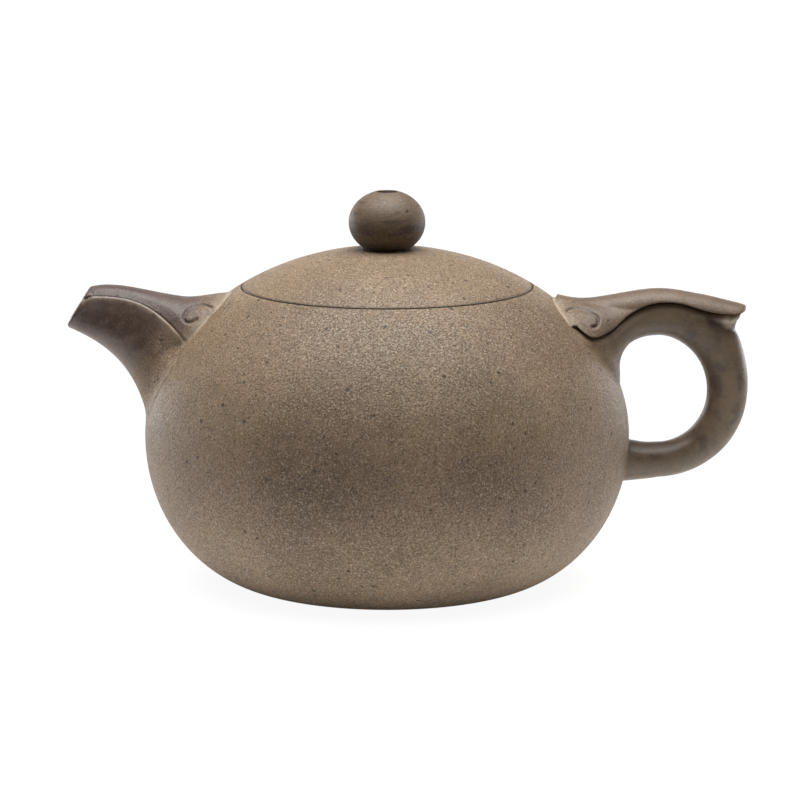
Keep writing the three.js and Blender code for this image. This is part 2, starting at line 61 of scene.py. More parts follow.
# Table and light: a white sheet lit from below round the pot, a soft box overhead, one at each side
# and a low one behind, and a dark room in front, which leaves the darker belt across the belly.
class Wire:
    """A socket of a finish. Sums written with it become Math nodes."""

    def __init__(self, finish, socket):
        self.finish = finish
        self.socket = socket

    def joined(self, operation, left, right):
        return self.finish.node("ShaderNodeMath", {"operation": operation}, {0: left, 1: right})

    def __add__(self, other):
        return self.joined("ADD", self, other)

    def __radd__(self, other):
        return self.joined("ADD", other, self)

    def __sub__(self, other):
        return self.joined("SUBTRACT", self, other)

    def __rsub__(self, other):
        return self.joined("SUBTRACT", other, self)

    def __mul__(self, other):
        return self.joined("MULTIPLY", self, other)

    def __rmul__(self, other):
        return self.joined("MULTIPLY", other, self)

    def fade(self, low, high, first=0.0, last=1.0):
        """A value that goes softly from first to last while this one goes from low to high."""
        return self.finish.node("ShaderNodeMapRange", {"interpolation_type": "SMOOTHSTEP"}, {
            "Value": self, "From Min": low, "From Max": high, "To Min": first, "To Max": last})


class Finish:
    """The nodes of a material, or of the room, made one at a time."""

    def __init__(self, owner):
        self.owner = owner
        self.owner.use_nodes = True
        self.tree = owner.node_tree
        self.tree.nodes.clear()

    def node(self, kind, settings=None, sockets=None, output=0):
        made = self.tree.nodes.new(kind)
        for name, value in (settings or {}).items():
            setattr(made, name, value)
        for key, value in (sockets or {}).items():
            if isinstance(value, Wire):
                self.tree.links.new(value.socket, made.inputs[key])
            else:
                made.inputs[key].default_value = value
        return Wire(self, made.outputs[output])

    def surface(self, shader, kind="ShaderNodeOutputMaterial"):
        """The material, or the room, once this shader is its surface."""
        ending = self.tree.nodes.new(kind)
        self.tree.links.new(shader.socket, ending.inputs["Surface"])
        return self.owner


table_half = 3
bm = bmesh.new()
bmesh.ops.create_grid(bm, x_segments=1, y_segments=1, size=table_half)
table_mesh = bpy.data.meshes.new("table")
bm.to_mesh(table_mesh)
bm.free()
table = bpy.data.objects.new("table", table_mesh)
bpy.context.collection.objects.link(table)

sheet = Finish(bpy.data.materials.new("white_sheet"))
seen = sheet.node("ShaderNodeLightPath", output="Is Camera Ray")
spot = sheet.node("ShaderNodeTexCoord", output="Object")
oval = sheet.node("ShaderNodeMapping", sockets={
    "Vector": spot, "Location": (0, -0.015, 0), "Scale": (0.62, 1, 1)})


def way_out(spread):
    """How far a place on the sheet is from the pot's axis."""
    return sheet.node("ShaderNodeVectorMath", {"operation": "LENGTH"}, {0: spread}, output="Value")


under_foot = way_out(spot).fade(0.034, 0.05, 0.15, 1.0)
light_pool = way_out(oval).fade(0.055, 0.18, 0.8, 0.0)
whiteness = way_out(spot).fade(0.07, 0.2, 0.88, 1.0)
matt = sheet.node("ShaderNodeBsdfDiffuse", sockets={"Color": (0.35, 0.35, 0.35, 1)})
glow = sheet.node("ShaderNodeEmission", sockets={
    "Color": (1, 0.99, 0.97, 1), "Strength": under_foot * light_pool})
lit = sheet.node("ShaderNodeAddShader", sockets={0: matt, 1: glow})
white = sheet.node("ShaderNodeEmission", sockets={"Color": (1, 1, 1, 1), "Strength": 1.04})
table_mesh.materials.append(sheet.surface(sheet.node("ShaderNodeMixShader", sockets={
    0: seen * whiteness, 1: lit, 2: white})))

room = Finish(bpy.data.worlds.new("room"))
in_view = room.node("ShaderNodeLightPath", output="Is Camera Ray")
dim = room.node("ShaderNodeBackground", sockets={"Color": (0.97, 0.99, 1, 1), "Strength": 0.03})
bright = room.node("ShaderNodeBackground", sockets={"Color": (1, 1, 1, 1), "Strength": 1.0})
bpy.context.scene.world = room.surface(
    room.node("ShaderNodeMixShader", sockets={0: in_view, 1: dim, 2: bright}), "ShaderNodeOutputWorld")


def soft_box(name, place, aim_height, width, height, power, colour):
    """A rectangular lamp turned to a height on the pot's axis."""
    lamp = bpy.data.lights.new(name, "AREA")
    lamp.shape = "RECTANGLE"
    lamp.size = width
    lamp.size_y = height
    lamp.energy = power
    lamp.color = colour
    holder = bpy.data.objects.new(name, lamp)
    holder.location = place
    aim = Vector((0, 0, aim_height)) - Vector(place)
    holder.rotation_euler = aim.to_track_quat("-Z", "Y").to_euler()
    bpy.context.collection.objects.link(holder)


warm_light = (1, 0.985, 0.96)
cool_light = (0.97, 0.985, 1)
soft_box("overhead", (0, 0, 0.65), 0.03, 0.62, 0.45, 6.1, warm_light)
soft_box("left_side", (-0.46, 0.36, 0.03), 0.03, 0.45, 0.14, 1.2, cool_light)
soft_box("right_side", (0.46, 0.32, 0.03), 0.03, 0.45, 0.14, 1.0, cool_light)
soft_box("behind", (0, 0.62, 0.1), 0.04, 1.5, 0.2, 2.2, cool_light)


# Body: brown stoneware with sandy grain, beaten from a strip of clay, closed at the top round the
# mouth, then scraped smooth. One wall, 3 mm thick, open at the mouth and at the foot. It is finished
# further down, when the spout's bore is there to be cut through it.
body_radius = 52
belly_height = 32
base_radius = 29.3
dome_height = 72.3
foot_spread, foot_lift = 10.1, 1.6
belly_below, belly_above = 18.7, 21.5
dome_spread = 28.7
lower_line = [(base_radius, 0), (base_radius + foot_spread, foot_lift),
              (body_radius, belly_height - belly_below), (body_radius, belly_height)]
upper_line = [(body_radius, belly_height), (body_radius, belly_height + belly_above),
              (dome_spread, dome_height), (0, dome_height)]
wall = 3
seam = 0.3
slab_edge = base_radius - 2.8
foot_clearance = 0.05
mouth_radius = 31.15
body_mouth = mouth_radius + seam / 2


def bezier(points, t):
    """The point at t on the Bezier curve of these control points."""
    points = [Vector(point) for point in points]
    while len(points) > 1:
        points = [a.lerp(b, t) for a, b in zip(points, points[1:])]
    return points[0]


def skin_point(line, t, offset):
    """A point at a distance outside the pot's profile, square to it."""
    a, b = bezier(line[:3], t), bezier(line[1:], t)
    run = (b - a).normalized()
    place = a.lerp(b, t)
    return Vector((place.x + run.y * offset, place.y - run.x * offset))


def skin_run(line, start, end, offset, count):
    return [skin_point(line, start + (end - start) * i / count, offset) for i in range(count + 1)]


def crossing(measure, low, high):
    """Where between low and high a rising or falling measure passes zero."""
    rising = measure(high) > measure(low)
    for _ in range(40):
        middle = (low + high) / 2
        if (measure(middle) > 0) == rising:
            high = middle
        else:
            low = middle
    return (low + high) / 2


def skin_at_radius(radius, offset):
    """Where on the upper line the skin at this offset has this radius."""
    return crossing(lambda t: skin_point(upper_line, t, offset).x - radius, 0, 1)


def skin_at_height(height, offset):
    """Where on the upper line the skin at this offset has this height."""
    return crossing(lambda t: skin_point(upper_line, t, offset).y - height, 0, 1)


def thrown(profile, steps, closed=True):
    """An outline of radii and heights turned about the pot's axis, as on a wheel."""
    bm = bmesh.new()
    rim = [bm.verts.new((point[0], 0, point[1])) for point in profile]
    pairs = list(zip(rim, rim[1:])) + ([(rim[-1], rim[0])] if closed else [])
    edges = [bm.edges.new(pair) for pair in pairs]
    bmesh.ops.spin(bm, geom=rim + edges, cent=(0, 0, 0), axis=(0, 0, 1), dvec=(0, 0, 0), angle=2 * pi,
                   steps=steps, use_merge=True, use_duplicate=False)
    bmesh.ops.remove_doubles(bm, verts=bm.verts, dist=0.001)
    bmesh.ops.recalc_face_normals(bm, faces=bm.faces)
    return bm


def eased(bm, width, angle=32):
    """Edges sharper than the angle rounded, as a damp leather leaves them."""
    sharp = [edge for edge in bm.edges
             if len(edge.link_faces) == 2 and edge.calc_face_angle(0) > radians(angle)]
    bmesh.ops.bevel(bm, geom=sharp, offset=width, offset_type="OFFSET", segments=2, profile=0.5,
                    affect="EDGES", material=-1, clamp_overlap=True)
    return bm


def stoneware(name, tone=(0.318, 0.21, 0.12), deep=(0.222, 0.143, 0.079),
              burnished=(0.2, 0.135, 0.105), sheen=0.42, brushed=(1, 1, 1), streaks=0.4):
    """Fired stoneware: cloudy ground, dark and pale sand, iron specks, wiped and burnished places,
    stains and slip seams, with painted shade in grooves, gaps and hollows and painted light in
    some pale places. Where a piece carries no mark, that mark is nothing. The clay's own roughness
    is 0.58, and sheen is what burnishing brings it down to."""
    clay = Finish(bpy.data.materials.new(name))
    metres = clay.node("ShaderNodeTexCoord", output="Object")
    place = clay.node("ShaderNodeVectorMath", {"operation": "SCALE"}, {0: metres, "Scale": 1000})
    drawn = clay.node("ShaderNodeVectorMath", {"operation": "MULTIPLY"}, {0: place, 1: brushed})

    def noise(scale, detail, rough=0.5, shift=(0, 0, 0), lay=place):
        spread = clay.node("ShaderNodeMapping", sockets={"Vector": lay, "Location": shift})
        return clay.node("ShaderNodeTexNoise", sockets={
            "Vector": spread, "Scale": scale, "Detail": detail, "Roughness": rough})

    def grains(scale, output):
        return clay.node("ShaderNodeTexVoronoi", {"feature": "F1"}, {"Vector": place, "Scale": scale},
                         output=output)

    def mixed(share, first, second):
        first, second = [side if isinstance(side, Wire) else (*side, 1) for side in (first, second)]
        return clay.node("ShaderNodeMix", {"data_type": "RGBA"}, {0: share, 6: first, 7: second}, output=2)

    def mark(attribute):
        return clay.node("ShaderNodeAttribute", {"attribute_name": attribute}, output="Fac")

    cloud = noise(0.045, 3.0)
    mottle = noise(0.33, 4.0, 0.6, (31, 7, 3))
    sand = noise(2.3, 2.0, 0.7, (3, 11, 5))
    dust = noise(2.7, 1.0, 0.5, (17, 2, 9))
    strokes = noise(0.5, 3.0, 0.5, (5, 23, 1), drawn)
    iron = grains(0.42, "Distance")
    chance = grains(0.42, "Color")
    chosen = clay.node("ShaderNodeSeparateColor", sockets={0: chance}, output="Red")
    size = clay.node("ShaderNodeSeparateColor", sockets={0: chance}, output="Green")
    quartz = grains(0.3, "Distance")

    rubbed = mark("burnish")
    polished = (rubbed + (mottle - 0.5) * 0.35 * rubbed.fade(0.02, 0.2)).fade(0.15, 0.75)
    wiped = mark("wiped")
    grain_left = (1 - wiped * 0.8) * (1 - polished * 0.72)
    dark_sand = sand.fade(0.52, 0.38) * grain_left
    pale_sand = dust.fade(0.52, 0.68) * grain_left
    specks = (iron - size * 0.1).fade(0.13, 0.05) * chosen.fade(0.6, 0.66) * (1 - wiped * 0.5)
    crystals = quartz.fade(0.075, 0.04) * grain_left

    dull = tuple(share * 0.72 for share in burnished)
    matt_ground = mixed((cloud * 0.6 + mottle * 0.4).fade(0.4, 0.62), deep, tone)
    rubbed_ground = mixed((mottle * 0.5 + cloud * 0.5).fade(0.4, 0.62), dull, burnished)
    ground = mixed(polished, matt_ground, rubbed_ground)
    for share, colour in [
        (polished * strokes.fade(0.5, 0.68) * streaks, (0.07, 0.042, 0.03)),
        # Smears and streaky stains, and painted shade: the front of the belly, the hollow under the spout's
        # ridge and the ring's inner side.
        (mark("smear_and_shade") * strokes.fade(0.15, 0.6), (0.066, 0.037, 0.025)),
        (dark_sand * 0.6, (0.05, 0.032, 0.021)),
        (pale_sand * 0.52, (0.6, 0.49, 0.37)),
        (specks * 0.85, (0.035, 0.022, 0.015)),
        (crystals * 0.6, (0.7, 0.63, 0.53)),
        # Pale slip, and painted light: a highlight along the spout's ridge and a lighter ring that lifts the
        # knob's shadow on the lid.
        (mark("slip") * mottle.fade(0.3, 0.55), (0.5, 0.4, 0.285)),
        # Painted shade in grooves, gaps and joints.
        (mark("line"), (0.04, 0.026, 0.019)),
    ]:
        ground = mixed(share, ground, colour)

    rise = dust * 0.5 - dark_sand * 0.9 + sand * 0.6 * grain_left - specks * 1.2 + mottle * 1.2
    relief = clay.node("ShaderNodeBump", sockets={"Height": rise, "Strength": 1.0, "Distance": 0.00006})
    return clay.surface(clay.node("ShaderNodeBsdfPrincipled", sockets={
        "Base Color": ground,
        "Roughness": 0.58 - polished * (0.58 - sheen) + (mottle - 0.5) * 0.25 + dark_sand * 0.1,
        "Specular IOR Level": 0.8,
        "Normal": relief,
    }))


body_clay = stoneware("body_clay")
foot_inside = skin_point(lower_line, 0, -wall)
wall_profile = (
    [(slab_edge, foot_clearance)]
    + skin_run(lower_line, 0, 1, 0, 60)
    + skin_run(upper_line, 0, skin_at_radius(body_mouth, 0), 0, 52)[1:]
    + skin_run(upper_line, skin_at_radius(body_mouth, -wall), 0, -wall, 26)
    + skin_run(lower_line, 1, 0, -wall, 26)[1:]
    + [(slab_edge, foot_inside.y)]
)
body_shape = eased(thrown(wall_profile, 288), 0.07)


# Spout: a short tapering tube, built up of slabs and burnished, its mouth cut to a slant and its lip
# rounded. A rolled edge runs down each side under the band. It is luted on with slip.
spout_reach = 14.55
spout_level = 59
spout_slant = radians(32)
mouth_half = 4.225
mouth_lean = Vector((sin(spout_slant), cos(spout_slant)))
mouth_middle = Vector((-body_radius - spout_reach, spout_level))
mouth_top = mouth_middle + mouth_lean * mouth_half
mouth_bottom = mouth_middle - mouth_lean * mouth_half
lip_run = Vector((7.6, -3.2))
shoulder_radius = mouth_radius + 4.2
shoulder_skin = skin_point(upper_line, skin_at_radius(shoulder_radius, 0), 0)
shoulder = Vector((-shoulder_radius, shoulder_skin.y - 1))
spout_top = [mouth_top, mouth_top + Vector((8, 2)), shoulder + Vector((-11, -1.4)), shoulder]
spout_below = [mouth_bottom, mouth_bottom + lip_run, (-body_radius - 0.37, 47.2), (-body_radius + 1.1, 31)]
spout_width = [(-0.1, 8.54), (0, 8.8), (0.5, 12.8), (0.8, 18.41), (1, 23), (1.1, 25.3)]
spout_end = 1.02
edge_bends = [mouth_top + Vector(step) for step in [(-2.6, -0.2), (11.4, 1.2), (15.4, -2.3), (22.9, -9.2)]]
spout_edge = [bezier(edge_bends, i / 24) for i in range(25)]
lip_round = 0.02
lip_corner = 1.9
fullness = 2.3
bite = 1.3


def flowing(points, t):
    """The point at t on a smooth curve through these points."""
    place = t * (len(points) - 1)
    k = min(int(place), len(points) - 2)
    w = place - k
    before, here, there, after = [
        Vector(points[min(max(k + i, 0), len(points) - 1)]) for i in (-1, 0, 1, 2)]
    enter, leave = (there - before) / 2, (after - here) / 2
    return ((2 * here - 2 * there + enter + leave) * w ** 3
            + (3 * there - 3 * here - 2 * enter - leave) * w ** 2 + enter * w + here)


def graded(stations, t):
    """One value along a piece, on a smooth curve through its stations."""
    return flowing(stations, crossing(lambda s: flowing(stations, s).x - t, 0, 1)).y


def smooth_step(value, low, high):
    """Nothing at low, one at high, and soft at both ends."""
    share = min(1, max(0, (value - low) / (high - low)))
    return share * share * (3 - 2 * share)


def swell(value, middle, width):
    """One at the middle, dying away to both sides."""
    return exp(-((value - middle) / width) ** 2)


def cross(a, b):
    return a.x * b.y - a.y * b.x


def bent(columns, rows, place):
    """A grid of quads bent through place(u, v), closed where its edges meet and at its ends."""
    bm = bmesh.new()
    bmesh.ops.create_grid(bm, x_segments=columns, y_segments=rows, size=0.5)
    for vert in bm.verts:
        vert.co = place(round((vert.co.x + 0.5) * columns), vert.co.y + 0.5)
    bmesh.ops.remove_doubles(bm, verts=bm.verts, dist=0.001)
    bmesh.ops.holes_fill(bm, edges=[edge for edge in bm.edges if edge.is_boundary], sides=0)
    bmesh.ops.recalc_face_normals(bm, faces=bm.faces)
    return bm


def on_section(station, angle):
    """The point at an angle from the top of a rounded section, which has a centre and an up in the
    XZ plane, a half height and a half width."""
    centre, up, tall, wide = station
    rise = tall * copysign(abs(cos(angle)) ** (2 / fullness), cos(angle))
    side = wide * copysign(abs(sin(angle)) ** (2 / fullness), sin(angle))
    return Vector((centre.x + up.x * rise, side, centre.y + up.y * rise))


def grown(station, grow):
    """The section with its skin moved outwards."""
    centre, up, tall, wide = station
    return centre, up, tall + grow, wide + grow


def lofted(stations, around):
    """A skin through rounded sections."""
    return bent(len(stations) - 1, around, lambda station, v: on_section(stations[station], 2 * pi * v))


def worked(base, tools, grain=None, passes=0):
    """Solids joined and cut in turn, then, if a grain is given, drawn over with one skin of that
    grain whose edges are softened."""
    holders = []
    for bm in [base] + [shape for _, shape in tools]:
        mesh = bpy.data.meshes.new("working")
        bm.to_mesh(mesh)
        bm.free()
        holders.append(bpy.data.objects.new("working", mesh))
        bpy.context.collection.objects.link(holders[-1])
    for (kind, _), holder in zip(tools, holders[1:]):
        step = holders[0].modifiers.new("step", "BOOLEAN")
        step.operation = kind
        step.solver = "EXACT"
        step.object = holder
    if grain:
        skin = holders[0].modifiers.new("skin", "REMESH")
        skin.mode = "VOXEL"
        skin.voxel_size = grain
        soft = holders[0].modifiers.new("soft", "SMOOTH")
        soft.iterations = passes
    result = bmesh.new()
    result.from_object(holders[0], bpy.context.evaluated_depsgraph_get())
    for holder in holders:
        mesh = holder.data
        bpy.data.objects.remove(holder)
        bpy.data.meshes.remove(mesh)
    return result


def pot_core():
    """The pot's form a little inside its skin, where the pieces luted to the wall end."""
    skin = skin_run(lower_line, 0, 1, -bite, 24) + skin_run(upper_line, 0, 1, -bite, 36)[1:]
    return thrown([(0, 0.5)] + skin, 96, closed=False)


pot_form = thrown(
    [(0, 0)] + skin_run(lower_line, 0, 1, 0, 70) + skin_run(upper_line, 0, 1, 0, 90)[1:],
    240, closed=False)
pot_skin = BVHTree.FromBMesh(pot_form)
pot_form.free()


def blend_out(vert, near, far):
    """Nothing at the pot's skin, rising to one with the distance from it."""
    spot, normal, _, _ = pot_skin.find_nearest(vert.co)
    return smooth_step((vert.co - spot).dot(normal), near, far)


def filleted(bm, radius, keep=None):
    """Flesh drawn out along the pot's skin where a piece meets it, as slip smoothed with a finger.
    It turns through the angle between the two surfaces, so it ends where they run together."""
    bm.normal_update()
    reach_limit, thinnest = 8, 0.01
    moves = []
    for vert in bm.verts:
        spot, normal, _, gap = pot_skin.find_nearest(vert.co)
        if gap > reach_limit or not (keep is None or keep(vert)):
            continue
        lean = min(1, max(0, vert.normal.dot(normal)))
        aside = vert.normal - normal * vert.normal.dot(normal)
        turn = acos(lean)
        reach = radius(vert.co) * tan(turn / 2)
        height = reach * sin(turn)
        away = (vert.co - spot).dot(normal)
        if height > thinnest and away < height and aside.length > thinnest:
            share = 1 - max(away, 0) / height
            moves.append((vert, aside.normalized() * reach * (1 - sqrt(max(0, 1 - share * share)))))
    for vert, move in moves:
        vert.co += move


def over_line(line, point):
    """How far a point stands above a line of points in the side view, less than nothing below it,
    and at which share of the line."""
    x, z, far_off = point.x, point.z, 16
    if min(hypot(x - spot.x, z - spot.y) for spot in line[::4]) > far_off:
        return -far_off, 0
    nearest, above, along = 1e9, 0, 0
    for k, (a, b) in enumerate(zip(line, line[1:])):
        run = b - a
        share = min(1, max(0, ((x - a.x) * run.x + (z - a.y) * run.y) / run.length_squared))
        spot = a + run * share
        gap = hypot(x - spot.x, z - spot.y)
        if gap < nearest:
            nearest, along = gap, (k + share) / (len(line) - 1)
            above = run.x * (z - a.y) - run.y * (x - a.x)
    return (nearest if above > 0 else -nearest), along


def faces_aside(vert):
    return abs(vert.normal.y) > 0.25


def finished(name, bm, material, body, node, marks=None):
    """The worked shape as a piece in metres, with a value at each point for each named mark."""
    for mark, value in (marks or {}).items():
        layer = bm.verts.layers.float.new(mark)
        for vert in bm.verts:
            vert[layer] = value(vert)
    bmesh.ops.scale(bm, vec=(0.001, 0.001, 0.001), verts=bm.verts)
    for face in bm.faces:
        face.smooth = True
    mesh = bpy.data.meshes.new(name)
    bm.to_mesh(mesh)
    bm.free()
    mesh.materials.append(material)
    mesh.set_sharp_from_angle(angle=radians(50))
    piece = bpy.data.objects.new(name, mesh)
    bpy.context.collection.objects.link(piece)
    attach(piece, body)
    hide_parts(node)


def spout_station(t):
    """The spout's section at a share of its length."""
    top, below = bezier(spout_top, t), bezier(spout_below, t)
    up = top - below
    return (top + below) / 2, up.normalized(), up.length / 2, graded(spout_width, t) / 2


def spout_wall(t):
    """The tube's wall: thin at the lip, a millimetre thicker from a third of its length on."""
    return 1.2 + min(1, max(0, t * 3))


def bore_station(t):
    return grown(spout_station(t), -spout_wall(t))


bore_from, bore_length = -0.06, 1.16
spout_bore = lofted([bore_station(bore_from + bore_length * i / 40) for i in range(41)], 48)
bore_skin = BVHTree.FromBMesh(spout_bore)

# The tube's skin runs from the body to the lip, round the lip and back along the bore.
bore_in_tube = 1.08
tube_stations = [spout_station(spout_end * i / 140) for i in range(140, 2, -1)]
for i in range(11):
    turn = pi * i / 10
    t = lip_round * (1 - sin(turn))
    tube_stations.append(grown(spout_station(t), -spout_wall(t) * (1 - cos(turn)) / 2))
tube_stations += [bore_station(lip_round + bore_in_tube * i / 36) for i in range(1, 37)]
spout_tube = lofted(tube_stations + tube_stations[:1], 176)
lip_inward = lip_run.normalized()
for vert in spout_tube.verts:
    # The lip's lower corner, rounded with a wet leather.
    span = Vector((vert.co.x, vert.co.z)) - mouth_bottom
    risen = cross(span, lip_inward) / cross(mouth_lean, lip_inward) / lip_corner
    gone = cross(mouth_lean, span) / cross(mouth_lean, lip_inward) / lip_corner
    pushed = ((1 - gone + risen) / 2) ** 2 - risen
    if risen < 1 and gone < 1 and pushed > 0:
        push = (mouth_lean + lip_inward) * pushed * lip_corner
        vert.co += Vector((push.x, 0, push.y))
spout_shape = worked(spout_tube, [("DIFFERENCE", pot_core())])


def outside_spout(vert):
    return bore_skin.find_nearest(vert.co)[3] > 0.8


def behind_mouth(vert):
    """How far a point is down the spout from the plane of its mouth."""
    return (vert.co.x - mouth_top.x) * mouth_lean.y - (vert.co.z - mouth_top.y) * mouth_lean.x


ridge_height, groove_depth, hollow_depth = 0.8, 0.3, 0.35
spout_shape.normal_update()
for vert in spout_shape.verts:
    side = smooth_step(abs(vert.normal.y), 0.15, 0.5) * smooth_step(behind_mouth(vert), 0.3, 2)
    if side > 0 and outside_spout(vert):
        above, _ = over_line(spout_edge, vert.co)
        roll = ridge_height * swell(above, -1.05, 0.7) - groove_depth * swell(above, 0, 0.3)
        roll -= hollow_depth * smooth_step(-above, 1.8, 3.5) * (1 - smooth_step(-above, 4, 9))
        vert.co += vert.normal * roll * side
filleted(spout_shape, lambda point: 1.2 + 6 * smooth_step(point.z, 55, 48), outside_spout)


def spout_hollow_smear_and_shade(vert):
    """Darker clay and painted shade in the hollow under the ridge."""
    above, along = over_line(spout_edge, vert.co)
    hollow = smooth_step(-above, 1.8, 4.5) * (1 - smooth_step(-above, 6, 13))
    return hollow * (1 - smooth_step(along, 0.8, 1)) * 0.75


def spout_groove_shade(vert):
    """Painted shade in the groove between the ridge and the band."""
    above, _ = over_line(spout_edge, vert.co)
    return 0.75 * swell(above, 0, 0.25) if faces_aside(vert) else 0


def spout_ridge_highlight_and_slip(vert):
    """A painted highlight along the ridge, and pale slip where the spout meets the body."""
    above, along = over_line(spout_edge, vert.co)
    ridge = 0.4 * swell(above, -0.95, 0.4) if faces_aside(vert) and along < 1 else 0
    return ridge + 0.35 * (1 - blend_out(vert, 0.05, 0.9))


spout_clay = stoneware("spout_clay", burnished=(0.205, 0.138, 0.112), sheen=0.4)
finished("spout_tube", spout_shape, spout_clay, "pot", "spout", {
    "burnish": lambda vert: blend_out(vert, 1.5, 10),
    "wiped": lambda vert: 0.5 * blend_out(vert, 0.3, 3),
    "smear_and_shade": spout_hollow_smear_and_shade,
    "line": spout_groove_shade,
    "slip": spout_ridge_highlight_and_slip,
})


# Ruyi band of the spout: a thin slab of the same clay luted over the tube, wide where it meets the
# body and narrowed to the mouth, with a curl cut into each side of its head.
band_thick, head_swell = 1.3, 1.1
band_bed = -0.9
edge_round = 0.5
edge_beyond = spout_edge + [Vector((-mouth_radius, mouth_top.y - 12))]
edge_steps, edge_end = [0, 0.04, 0.12, 0.25, 0.4], 0.55
curl_depth = 0.5


def curl_marks(curls):
    """How deep the curl's groove is at a point, from its line seen from the side."""
    line = [flowing(curls, i / 40) for i in range(41)]

    def groove(vert, width=0.3):
        if abs(vert.normal.y) < 0.2:
            return 0
        return swell(over_line(line, vert.co)[0], 0, width)

    return groove


def luted_band(name, bm, clay, node, curl):
    """A ruyi band with its curl pressed in, its foot smoothed on to the wall and slip in its seam."""
    bm.normal_update()
    for vert in bm.verts:
        vert.co -= vert.normal * curl_depth * curl(vert)
    filleted(bm, lambda point: 0.6)
    finished(name, bm, clay, "pot", node, {
        "burnish": lambda vert: 0.45 + 0.55 * blend_out(vert, 1, 7),
        "slip": lambda vert: 0.9 - 0.55 * blend_out(vert, 0.1, 0.5) - 0.35 * blend_out(vert, 0.5, 2),
        # Painted shade in the curl's groove.
        "line": lambda vert: 0.55 * curl(vert, 0.2),
    })


def lowered(step):
    """How far the band's back is below its full height at a distance from its edge."""
    inset = max(0, edge_round - step)
    return edge_round - sqrt(edge_round ** 2 - inset ** 2) + 0.5 * (1 - smooth_step(step, 0.2, 3))


def spout_band_section(t):
    """The points round the band at a share of the spout's length: over its back from one edge to the
    other, thinned and rounded towards them, and back along its bed."""
    ahead = 1 - min(1, t / lip_round)
    rise = band_thick + head_swell * smooth_step(t, 0.72, 0.97) - edge_round * (1 - sqrt(1 - ahead * ahead))
    station = spout_station(t)
    raised = grown(station, rise)
    edge = crossing(lambda angle: over_line(edge_beyond, on_section(raised, angle))[0], 0.02, pi - 0.02)
    angles = [edge * (1 - i / 80) for i in range(81)]
    back = [on_section(raised, angle) for angle in angles]
    runs = [0]
    for a, b in zip(back, back[1:]):
        runs.append(runs[-1] + (b - a).length)
    half = [(edge, band_bed), (edge, -0.4), (edge, 0.05)]
    for step in edge_steps + [edge_end + (runs[-1] - edge_end) * i / 78 for i in range(79)]:
        k = next((i for i in range(79) if runs[i + 1] >= step), 79)
        angle = angles[k] + (angles[k + 1] - angles[k]) * (step - runs[k]) / (runs[k + 1] - runs[k])
        half.append((angle, max(rise - lowered(step), 0.1)))
    bed = [(edge * (1 - 2 * i / 16), band_bed) for i in range(1, 16)]
    other_half = [(-angle, grow) for angle, grow in reversed(half[:-1])]
    across = half + other_half + [(-angle, grow) for angle, grow in bed]
    return [on_section(grown(station, grow), angle) for angle, grow in across]


band_stations = ([lip_round * i / 6 for i in range(6)]
                 + [lip_round + (spout_end - lip_round) * i / 150 for i in range(151)])
band_rows = [spout_band_section(t) for t in band_stations]
around_band = len(band_rows[0])
spout_band = bent(len(band_rows) - 1, around_band,
                  lambda row, v: band_rows[row][round(v * around_band) % around_band])
spout_band_shape = worked(spout_band, [("DIFFERENCE", pot_core())])
spout_curl = curl_marks([(-37.2, 60.5), (-38.8, 60.8), (-40.8, 60.6), (-42.0, 60.1), (-42.9, 59.2),
                         (-43.1, 58.1), (-42.3, 57.6), (-41.1, 57.8), (-40.3, 58.3)])
spout_band_clay = stoneware("spout_band_clay", burnished=(0.122, 0.077, 0.065), sheen=0.55, streaks=0.2)
luted_band("spout_ruyi", spout_band_shape, spout_band_clay, "spout_ruyi_band", spout_curl)


# Handle: a ring of the same clay rolled to an even round and luted on, drawn out to a trumpet under
# the band, with a shoulder on its bend that carries the wing. It is burnished but for the fillets.
finger_level = 41.8
finger_half_wide, finger_half_tall, finger_reach = 9.5, 11.8, 16.7
ring_x = body_radius + finger_reach - finger_half_wide
ring_wide = finger_half_wide + 4.35
ring_tall = finger_half_tall + 3.9
arm_thick = 7.9
arm_top = finger_level + finger_half_tall + arm_thick + band_thick + seam
wing_tip = Vector((body_radius + 24.9, 59.3))
wing_joint = Vector((body_radius + 21.3, 57))
upper_root = Vector((body_radius - 14, 47.5))
lower_root = Vector((body_radius - 8, 26.4))


def ring_point(turn):
    """The middle of the rolled clay at an angle round the finger hole."""
    return Vector((ring_x + ring_wide * cos(radians(turn)), finger_level + ring_tall * sin(radians(turn))))


arc_from, arc_to = 100, -95
arc_start, arc_end = ring_point(arc_from), ring_point(arc_to)
upper_bends = [upper_root, upper_root + Vector((6.5, 4.9)), arc_start + Vector((-6, -0.5)), arc_start]
lower_bends = [arc_end, arc_end + Vector((-3, -0.3)), lower_root + Vector((5, 0)), lower_root]
handle_line = ([bezier(upper_bends, i / 80) for i in range(81)]
               + [ring_point(arc_from + (arc_to - arc_from) * i / 200) for i in range(1, 201)]
               + [bezier(lower_bends, i / 60) for i in range(1, 61)])
handle_runs = [0]
for a, b in zip(handle_line, handle_line[1:]):
    handle_runs.append(handle_runs[-1] + (b - a).length)

# How far the clay stands above and below the middle line, and its width, by share of its length.
handle_rise = [(0, 12.2), (0.06, 11.54), (0.117, 7.75), (0.165, 4.94), (0.21, 3.95), (0.28, 3.95),
               (0.37, 4.6), (0.43, 5.4), (0.49, 4.75), (0.55, 4.4), (0.61, 4.25), (0.67, 3.95),
               (0.73, 3.5), (0.79, 3.4), (0.85, 3.85), (1, 5.5)]
handle_drop = [(0, 11.6), (0.07, 11.6), (0.1, 9.23), (0.117, 7.09), (0.13, 5.94), (0.15, 4.79),
               (0.18, 3.95), (0.24, 3.85), (0.3, 4.3), (0.36, 4.65), (0.42, 4.65), (0.5, 4.45),
               (0.6, 4.2), (0.7, 4.2), (0.78, 4.1), (0.85, 3.8), (0.9, 4.2), (1, 5.5)]
handle_width = [(0, 26), (0.07, 23.92), (0.13, 17.16), (0.19, 10.35), (0.27, 9), (0.53, 9), (0.8, 9),
                (0.88, 9.72), (1, 13)]


